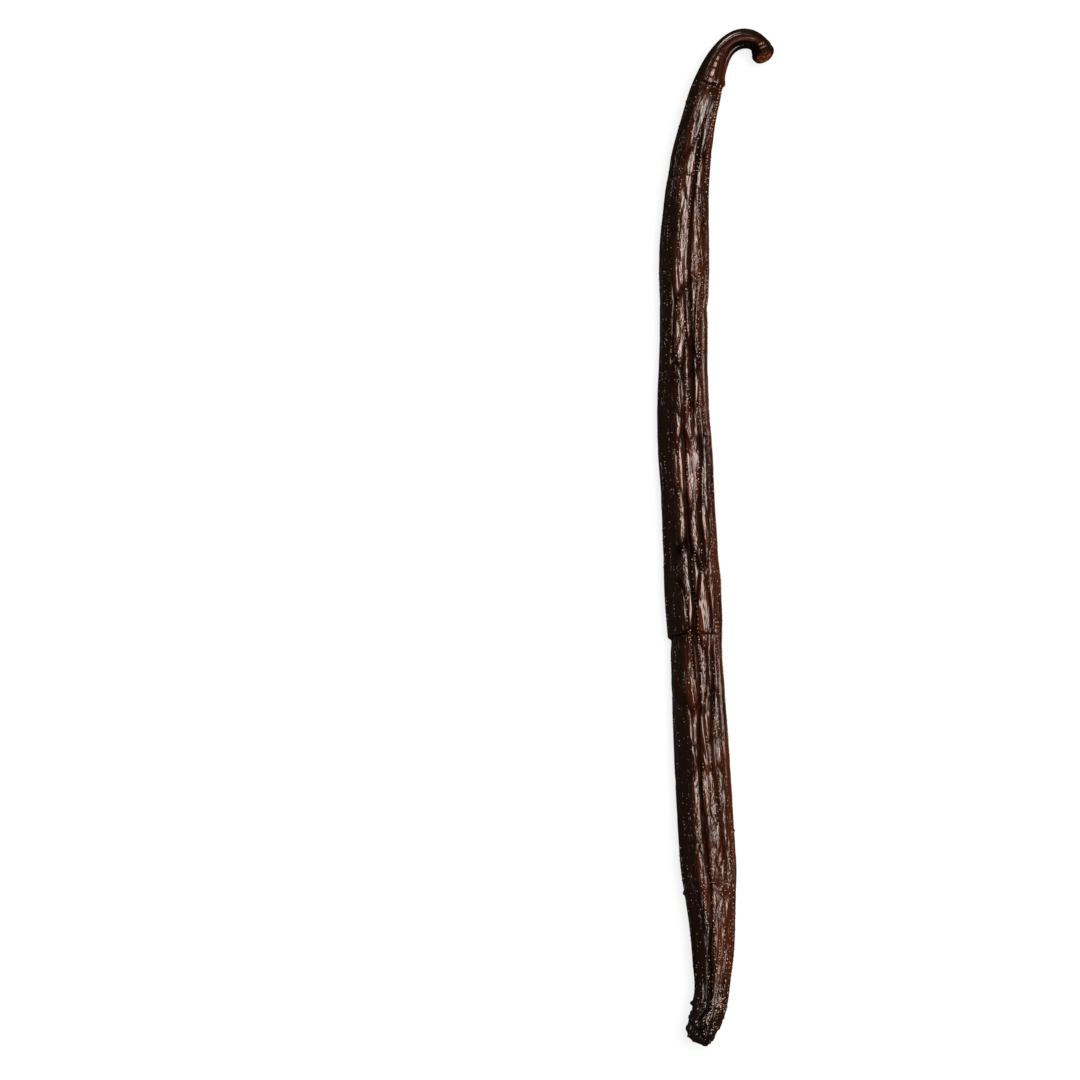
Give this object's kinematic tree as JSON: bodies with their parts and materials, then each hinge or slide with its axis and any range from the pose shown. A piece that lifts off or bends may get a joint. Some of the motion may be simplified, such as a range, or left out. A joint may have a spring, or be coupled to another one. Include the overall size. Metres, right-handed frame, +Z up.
{
  "type": "vanilla pod",
  "caption": "Cured vanilla pod lying on its side: a long, slim, dark brown, wrinkled pod with a hooked cut stem end and a warty blossom end.",
  "frame": {"origin": "on the table, below the middle of the pod's box", "axes": "+Y runs from the blossom end to the hooked stem end, +X is the side the hook curls to, +Z is up from the table"},
  "size_m": [0.0186, 0.1626, 0.0062],
  "materials": {
    "pod_skin": "cured vanilla skin: near black to red-brown, oily and glossy, creased along its length"
  },
  "bodies": {
    "root": {"pod": "pod_skin"}
  },
  "joints": []
}
